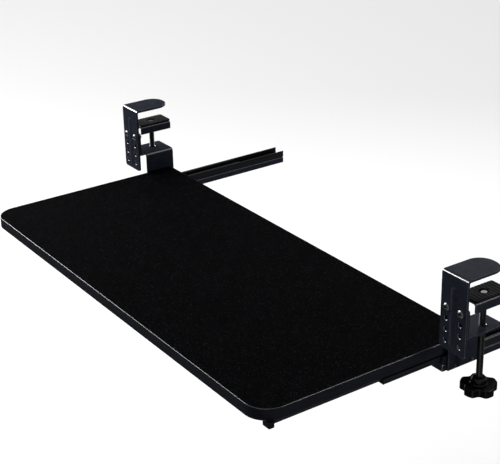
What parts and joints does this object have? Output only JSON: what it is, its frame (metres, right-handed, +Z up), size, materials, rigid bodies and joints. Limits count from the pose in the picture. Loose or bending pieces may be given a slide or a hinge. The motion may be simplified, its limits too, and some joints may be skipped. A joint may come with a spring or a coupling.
{
  "type": "keyboard tray",
  "caption": "Slide-out keyboard tray with rounded front corners, hung from screw clamps with star knobs on ball-bearing slides, for fixing under a desk edge without drilling.",
  "frame": {"origin": "middle of the gripped front top edge: Y = 0 is the edge's front face and Z = 0 its top face", "axes": "+X right seen from the user, +Y from the user to the back, +Z up"},
  "size_m": [0.7754, 0.503, 0.1581],
  "materials": {
    "tray_laminate": "fine pebble grain, satin black",
    "edge_band": "smooth satin charcoal",
    "board_core": "raw fibreboard",
    "powder_coat": "semi-gloss blue-black powder coat",
    "slide_steel": "black-plated rolled steel",
    "zinc_steel": "bright zinc plate",
    "black_steel": "black oxide",
    "cage_steel": "black-plated strip",
    "ball_steel": "polished",
    "knob_plastic": "moulded black nylon",
    "rubber": "matte black"
  },
  "bodies": {
    "clamp_frame": {"clamp_plate_left": "powder_coat", "clamp_plate_right": "powder_coat", "tongue_pad_left": "rubber", "tongue_pad_right": "rubber", "drop_bracket_left": "powder_coat", "drop_bracket_right": "powder_coat", "bracket_bolts_left": "black_steel", "bracket_bolts_right": "black_steel", "bracket_nuts_left": "black_steel", "bracket_nuts_right": "black_steel", "weld_nut_left": "black_steel", "weld_nut_right": "black_steel", "rail_support_left": "powder_coat", "rail_support_right": "powder_coat", "side_rivets_left": "black_steel", "side_rivets_right": "black_steel", "slide_rivets_left": "zinc_steel", "slide_rivets_right": "zinc_steel", "slide_outer_left": "slide_steel", "slide_outer_right": "slide_steel"},
    "tray": {"tray_core": "board_core", "tray_top_laminate": "tray_laminate", "tray_bottom_laminate": "tray_laminate", "tray_edge_band": "edge_band", "slide_inner_left": "slide_steel", "slide_inner_right": "slide_steel", "tray_screws_left": "zinc_steel", "tray_screws_right": "zinc_steel", "front_bumper_left": "rubber", "front_bumper_right": "rubber", "bumper_screw_left": "zinc_steel", "bumper_screw_right": "zinc_steel"},
    "mid_slide_left": {"slide_middle_left": "slide_steel"},
    "outer_race_left": {"outer_cage_left": "cage_steel", "outer_balls_left": "ball_steel"},
    "inner_race_left": {"inner_cage_left": "cage_steel", "inner_balls_left": "ball_steel"},
    "jaw_left": {"pressure_plate_left": "powder_coat", "pressure_pad_left": "rubber"},
    "screw_left": {"clamp_screw_left": "black_steel", "clamp_knob_left": "knob_plastic"},
    "mid_slide_right": {"slide_middle_right": "slide_steel"},
    "outer_race_right": {"outer_cage_right": "cage_steel", "outer_balls_right": "ball_steel"},
    "inner_race_right": {"inner_cage_right": "cage_steel", "inner_balls_right": "ball_steel"},
    "jaw_right": {"pressure_plate_right": "powder_coat", "pressure_pad_right": "rubber"},
    "screw_right": {"clamp_screw_right": "black_steel", "clamp_knob_right": "knob_plastic"}
  },
  "joints": [
    {"name": "tray_slide", "type": "slide", "parent": "clamp_frame", "child": "tray", "axis": [0, 1, 0], "range_m": [0, 0.233]},
    {"name": "mid_slide_left", "type": "slide", "parent": "clamp_frame", "child": "mid_slide_left", "axis": [0, 1, 0], "range_m": [0, 0.0855]},
    {"name": "outer_race_left", "type": "slide", "parent": "clamp_frame", "child": "outer_race_left", "axis": [0, 1, 0], "range_m": [0, 0.043]},
    {"name": "inner_race_left", "type": "slide", "parent": "clamp_frame", "child": "inner_race_left", "axis": [0, 1, 0], "range_m": [0, 0.1595]},
    {"name": "mid_slide_right", "type": "slide", "parent": "clamp_frame", "child": "mid_slide_right", "axis": [0, 1, 0], "range_m": [0, 0.0855]},
    {"name": "outer_race_right", "type": "slide", "parent": "clamp_frame", "child": "outer_race_right", "axis": [0, 1, 0], "range_m": [0, 0.043]},
    {"name": "inner_race_right", "type": "slide", "parent": "clamp_frame", "child": "inner_race_right", "axis": [0, 1, 0], "range_m": [0, 0.1595]},
    {"name": "jaw_slide_left", "type": "slide", "parent": "clamp_frame", "child": "jaw_left", "axis": [0, 0, 1], "range_m": [-0.025, 0.024]},
    {"name": "screw_turn_left", "type": "hinge", "parent": "jaw_left", "child": "screw_left", "pos_m": [-0.366, 0.037, -0.06], "axis": [0, 0, 1], "range_deg": [-7300, 7300]},
    {"name": "jaw_slide_right", "type": "slide", "parent": "clamp_frame", "child": "jaw_right", "axis": [0, 0, 1], "range_m": [-0.025, 0.024]},
    {"name": "screw_turn_right", "type": "hinge", "parent": "jaw_right", "child": "screw_right", "pos_m": [0.366, 0.037, -0.06], "axis": [0, 0, 1], "range_deg": [-7300, 7300]}
  ],
  "couplings": [
    {"joint": "mid_slide_left", "follows": "tray_slide", "ratio": 0.36481},
    {"joint": "outer_race_left", "follows": "tray_slide", "ratio": 0.1824},
    {"joint": "inner_race_left", "follows": "tray_slide", "ratio": 0.6824},
    {"joint": "mid_slide_right", "follows": "tray_slide", "ratio": 0.36481},
    {"joint": "outer_race_right", "follows": "tray_slide", "ratio": 0.1824},
    {"joint": "inner_race_right", "follows": "tray_slide", "ratio": 0.6824},
    {"joint": "screw_turn_left", "follows": "jaw_slide_left", "rad_per_m": 5026.5},
    {"joint": "screw_turn_right", "follows": "jaw_slide_right", "rad_per_m": 5026.5}
  ]
}
